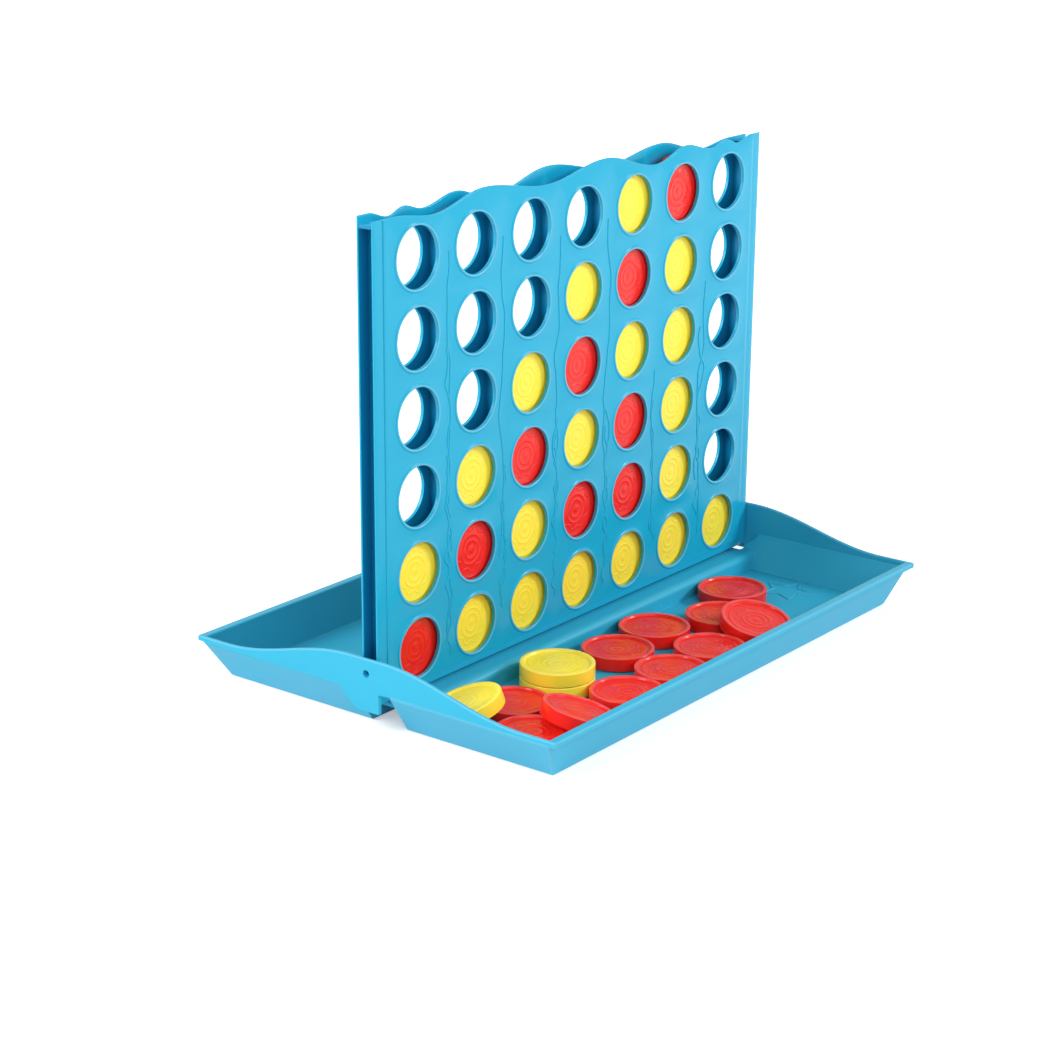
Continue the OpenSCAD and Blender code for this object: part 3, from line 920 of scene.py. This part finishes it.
class GAME_OT_discs(bpy.types.Operator):
    """Makes the red and yellow discs, each lying or standing where its solid is"""

    bl_idname = "four_row.discs"
    bl_label = "Discs"

    def execute(self, context):
        disc = settings().disc
        tree = ripple_tree()
        spin = random.Random(4)
        for colour in ("red", "yellow"):
            master = grown(
                disc_body(72), tree, Radius=disc.ripple_radius, Swell=disc.ripple_swell, Lobes=disc.ripple_lobes,
                Line_Width=disc.ring_width, Line_Height=disc.ripple_height,
                Face_Height=disc.thickness / 2 - disc.dish, Material=FINISH[colour],
            )
            # Painted highlight: the tops of the discs' rims get a paler colour
            mark_points(master, "crest", 0.35, lambda spot: abs(spot.z) > disc.thickness / 2 - 0.2 * MM)
            smooth(master, 50)
            for node in DISCS:
                if not node.startswith(colour):
                    continue
                mesh = master.copy()
                turn = Matrix.Rotation(spin.uniform(0, TURN), 4, "Z")
                mesh.transform(disc_place(node) @ turn)
                finish_piece(node + "_moulding", mesh, FINISH[colour], node, colour + "_plastic", node)
        return {"FINISHED"}


# Stage


LAMPS = (  # name, place and diameter in metres, power in watts
    ("front", (0.95, -1.2, 0.9), 0.5, 16.5),
    ("left", (-1.15, 0.6, 0.85), 1.0, 21),
    ("fill", (-0.7, -1.1, 0.9), 1.2, 7.5),
)
AIM = Vector((0, 0, 0.08))  # what the lamps point at, in metres
FRAME = 1050  # side of the picture in pixels
FOCAL = 2470.287  # focal length in the same pixels
AXIS = (466.343, 562.951)  # where the line of sight meets the picture, in pixels from its top left
EYE = (-0.8094, -0.5934, 0.3722)  # place of the camera in metres
TILT, HEADING = 18.62, 51.186  # degrees that the camera looks down, and turns to the right from straight ahead


class GAME_OT_stage(bpy.types.Operator):
    """Sets the pale floor, the soft studio light and the camera"""

    bl_idname = "four_row.stage"
    bl_label = "Stage"

    def execute(self, context):
        scene = context.scene
        scene.view_settings.view_transform = "Standard"
        self.white_world(scene)
        self.floor()
        for lamp in LAMPS:
            self.lamp(*lamp)
        camera = bpy.data.cameras.new("photo view")
        camera.sensor_width = 36
        camera.lens = FOCAL / FRAME * camera.sensor_width
        camera.shift_x = 0.5 - AXIS[0] / FRAME
        camera.shift_y = AXIS[1] / FRAME - 0.5
        camera.clip_start = 0.01
        holder = bpy.data.objects.new("photo view", camera)
        holder.location = EYE
        holder.rotation_euler = (math.radians(90 - TILT), 0, math.radians(-HEADING))
        scene.collection.objects.link(holder)
        scene.camera = holder
        return {"FINISHED"}

    def seen(self, tree):
        """One for the rays that show the backdrop: straight to the camera, mirrored or through something clear."""
        rays = add(tree, "ShaderNodeLightPath")
        straight, mirrored = rays.outputs["Is Camera Ray"], rays.outputs["Is Glossy Ray"]
        either = add(tree, "ShaderNodeMath", {0: straight, 1: mirrored}, operation="MAXIMUM")
        both = {0: either.outputs[0], 1: rays.outputs["Is Transmission Ray"]}
        return add(tree, "ShaderNodeMath", both, operation="MAXIMUM").outputs[0]

    def white_world(self, scene):
        """Even light on the game before a white backdrop."""
        world = bpy.data.worlds.new("studio")
        scene.world = world
        world.use_nodes = True
        tree = world.node_tree
        tree.nodes.clear()
        light = add(tree, "ShaderNodeBackground", {"Color": (1, 1, 1, 1), "Strength": 0.42})
        white = add(tree, "ShaderNodeBackground", {"Color": (1, 1, 1, 1), "Strength": 1.0})
        mix = add(tree, "ShaderNodeMixShader", {0: self.seen(tree), 1: light.outputs[0], 2: white.outputs[0]})
        add(tree, "ShaderNodeOutputWorld", {"Surface": mix.outputs[0]})

    def floor(self):
        """A matte white sheet under the game that keeps its shadow."""
        material = bpy.data.materials.new("Paper sweep, matte white")
        material.use_nodes = True
        tree = material.node_tree
        tree.nodes.clear()
        # The sheet shows whiter the farther it lies from the game, so that it runs into the white backdrop
        place = add(tree, "ShaderNodeTexCoord").outputs["Object"]
        away = add(tree, "ShaderNodeVectorMath", {0: place}, operation="LENGTH")
        fade = add(
            tree,
            "ShaderNodeMapRange",
            {"Value": away.outputs["Value"], "From Min": 0.15, "From Max": 1.2, "To Min": 0.4, "To Max": 1.0},
        )
        lift = add(tree, "ShaderNodeMath", {0: self.seen(tree), 1: fade.outputs[0]}, operation="MULTIPLY")
        paper = add(tree, "ShaderNodeBsdfDiffuse", {"Color": (0.85, 0.85, 0.85, 1)})
        glow = add(tree, "ShaderNodeEmission", {"Color": (1, 1, 1, 1), "Strength": lift.outputs[0]})
        both = add(tree, "ShaderNodeAddShader", {0: paper.outputs[0], 1: glow.outputs[0]})
        add(tree, "ShaderNodeOutputMaterial", {"Surface": both.outputs[0]})
        side = 6.0
        corners = [(-side, -side, 0), (side, -side, 0), (side, side, 0), (-side, side, 0)]
        mesh = mesh_of("floor", corners, [(0, 1, 2, 3)])
        mesh.materials.append(material)
        floor = link("floor", mesh)
        floor.location.z = CAD_BOX[0].z - 0.3 * MM

    def lamp(self, name, place, size, power):
        """A round soft light aimed at the game."""
        light = bpy.data.lights.new(name, "AREA")
        light.shape = "DISK"
        light.size = size
        light.energy = power
        holder = bpy.data.objects.new(name, light)
        holder.location = place
        holder.rotation_euler = (AIM - Vector(place)).to_track_quat("-Z", "Y").to_euler()
        bpy.context.scene.collection.objects.link(holder)


class GAME_PT_panel(bpy.types.Panel):
    """Lists the pieces and their sizes"""

    bl_idname = "GAME_PT_panel"
    bl_label = "Four in a Row"
    bl_space_type = "VIEW_3D"
    bl_region_type = "UI"
    bl_category = "Four in a Row"

    def draw(self, context):
        sizes = settings()
        for step in STEPS:
            self.layout.operator(step.bl_idname)
        for group in (sizes.disc, sizes.grid, sizes.pin, sizes.base, sizes.finishes):
            box = self.layout.box()
            for name in group.__annotations__:
                box.prop(group, name)


class GameSettings(bpy.types.PropertyGroup):
    """All sizes and colours of the game."""

    disc: bpy.props.PointerProperty(type=DiscSizes)
    grid: bpy.props.PointerProperty(type=GridSizes)
    pin: bpy.props.PointerProperty(type=PinSizes)
    base: bpy.props.PointerProperty(type=BaseSizes)
    finishes: bpy.props.PointerProperty(type=Finishes)


STEPS = (GAME_OT_finishes, GAME_OT_base, GAME_OT_panels, GAME_OT_frame, GAME_OT_discs, GAME_OT_stage)
CLASSES = (DiscSizes, GridSizes, PinSizes, BaseSizes, Finishes, GameSettings) + STEPS + (GAME_PT_panel,)


def register():
    for cls in CLASSES:
        bpy.utils.register_class(cls)
    bpy.types.Scene.four_in_a_row = bpy.props.PointerProperty(type=GameSettings)


def unregister():
    del bpy.types.Scene.four_in_a_row
    for cls in reversed(CLASSES):
        bpy.utils.unregister_class(cls)


def main():
    register()
    bpy.ops.four_row.finishes()
    bpy.ops.four_row.base()
    bpy.ops.four_row.panels()
    bpy.ops.four_row.frame()
    bpy.ops.four_row.discs()
    bpy.ops.four_row.stage()


if __name__ == "__main__":
    main()
